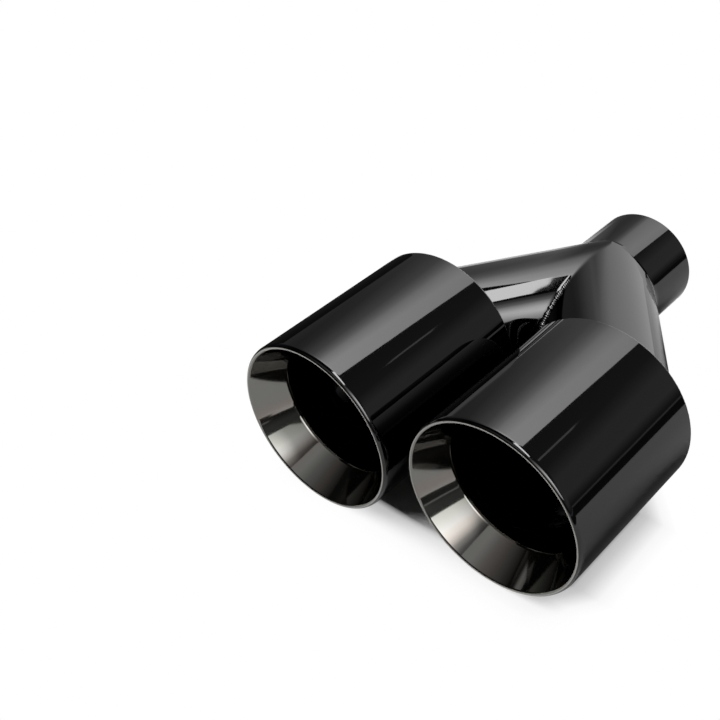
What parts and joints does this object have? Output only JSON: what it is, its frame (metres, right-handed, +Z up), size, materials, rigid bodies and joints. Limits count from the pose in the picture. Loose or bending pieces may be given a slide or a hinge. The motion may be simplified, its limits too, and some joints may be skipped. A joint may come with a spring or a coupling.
{
  "type": "exhaust tip",
  "caption": "Twin-outlet exhaust tip: a clamp-on inlet, a mitred Y of two legs, and round double-edged tips of unequal length side by side.",
  "frame": {"origin": "centre of the inlet tube's open end", "axes": "+Y points back out of the inlet along the car's pipe, the two mouths face -Y, +Z is up and X runs across the pair of tips"},
  "size_m": [0.2096, 0.2414, 0.1016],
  "materials": {
    "black_chrome": "high-gloss black chrome plating on polished stainless steel",
    "smoky_chrome": "mirror-polished smoky dark chrome",
    "weld_bead": "plated weld bead, glossy over ripples"
  },
  "bodies": {
    "root": {"inlet_tube": "black_chrome", "inlet_weld": "black_chrome", "left_leg": "black_chrome", "right_leg": "black_chrome", "fork_weld": "weld_bead", "left_shell": "black_chrome", "right_shell": "black_chrome", "left_cone": "smoky_chrome", "right_cone": "smoky_chrome", "left_end_plate": "black_chrome", "right_end_plate": "black_chrome", "left_plate_seam": "weld_bead", "right_plate_seam": "weld_bead", "left_leg_weld": "weld_bead", "right_leg_weld": "weld_bead"}
  },
  "joints": []
}
